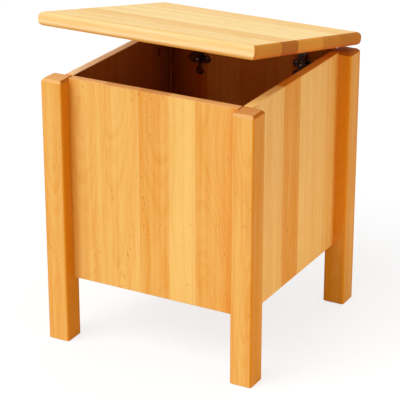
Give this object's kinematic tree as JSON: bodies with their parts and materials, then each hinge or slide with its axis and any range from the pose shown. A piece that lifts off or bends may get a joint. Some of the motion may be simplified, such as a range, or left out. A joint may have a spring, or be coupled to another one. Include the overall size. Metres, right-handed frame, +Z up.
{
  "type": "laundry hamper with lid",
  "caption": "Free-standing wooden laundry hamper: square posts, edge-glued panels, a bottom on cleats, and a solid lid that lifts on cranked metal hinges.",
  "frame": {"origin": "on the floor under the middle of the whole hamper's box, with the lid standing 12 degrees open", "axes": "+X to the right as seen from the front, +Y to the back where the hinges are, +Z up"},
  "size_m": [0.45, 0.4764, 0.6683],
  "materials": {
    "post_wood": "satin lacquered alder, honey coloured, grain upright",
    "panel_wood": "satin lacquered edge-glued alder staves, grain upright",
    "lid_wood": "satin lacquered edge-glued alder strips, grain across the width",
    "inner_wood": "plain sanded wood",
    "dark_metal": "dark bronzed steel, satin",
    "screw_metal": "dull steel",
    "bumper_rubber": "matt"
  },
  "bodies": {
    "box": {"post_front_left": "post_wood", "post_front_right": "post_wood", "post_rear_left": "post_wood", "post_rear_right": "post_wood", "front_stave_1": "panel_wood", "front_stave_2": "panel_wood", "front_stave_3": "panel_wood", "front_stave_4": "panel_wood", "front_stave_5": "panel_wood", "rear_stave_1": "panel_wood", "rear_stave_2": "panel_wood", "rear_stave_3": "panel_wood", "rear_stave_4": "panel_wood", "rear_stave_5": "panel_wood", "left_stave_1": "panel_wood", "left_stave_2": "panel_wood", "left_stave_3": "panel_wood", "left_stave_4": "panel_wood", "left_stave_5": "panel_wood", "right_stave_1": "panel_wood", "right_stave_2": "panel_wood", "right_stave_3": "panel_wood", "right_stave_4": "panel_wood", "right_stave_5": "panel_wood", "bottom_board": "inner_wood", "cleat_front": "inner_wood", "cleat_rear": "inner_wood", "cleat_left": "inner_wood", "cleat_right": "inner_wood", "dowels": "inner_wood", "cleat_screws": "screw_metal", "hinge_plate_left": "dark_metal", "hinge_plate_right": "dark_metal", "hinge_arm_left": "dark_metal", "hinge_arm_right": "dark_metal", "hinge_pin_left": "screw_metal", "hinge_pin_right": "screw_metal", "hinge_plate_screws": "screw_metal", "hinge_arm_screws": "screw_metal"},
    "lid": {"lid_strip_1": "lid_wood", "lid_strip_2": "lid_wood", "lid_strip_3": "lid_wood", "lid_strip_4": "lid_wood", "lid_strip_5": "lid_wood", "hinge_leaf_left": "dark_metal", "hinge_leaf_right": "dark_metal", "hinge_leaf_screws": "screw_metal", "lid_bumpers": "bumper_rubber"}
  },
  "joints": [
    {"name": "lid_hinge", "type": "hinge", "parent": "box", "child": "lid", "pos_m": [0, 0.23321, 0.549], "axis": [-1, 0, 0], "range_deg": [-12, 83]}
  ]
}
